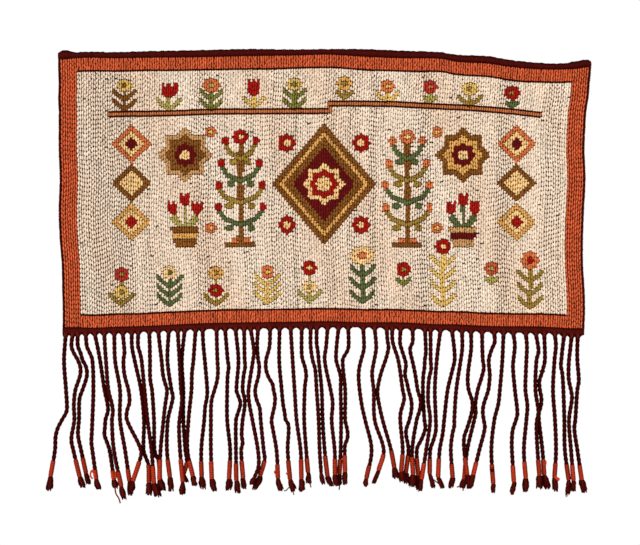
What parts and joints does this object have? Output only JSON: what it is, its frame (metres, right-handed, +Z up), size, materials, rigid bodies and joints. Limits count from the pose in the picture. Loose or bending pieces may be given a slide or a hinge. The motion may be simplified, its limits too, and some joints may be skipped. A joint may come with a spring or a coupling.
{
  "type": "tapestry wall hanging",
  "caption": "Thick woven wool wall hanging with a rolled dark heading, bound sides, a plain border and a bottom fringe of twisted cords with wrapped, frayed ends.",
  "frame": {"origin": "middle of the top edge, in the middle plane of the cloth, where the hanging is held", "axes": "+X to the right as seen from the front, +Y from the front to the back, +Z up"},
  "size_m": [1.088, 0.0262, 0.8947],
  "materials": {
    "wool_face": "thick matte wool stitches in cream with an orange border and flower motifs",
    "dark_heading": "tightly rolled dark brown wool",
    "dark_binding": "narrow wrapped edge of dark brown wool",
    "dark_cord": "two-ply twisted cords of dark brown wool"
  },
  "bodies": {
    "root": {"cloth": "wool_face", "heading": "dark_heading", "binding_left": "dark_binding", "binding_right": "dark_binding", "fringe": "dark_cord"}
  },
  "joints": []
}
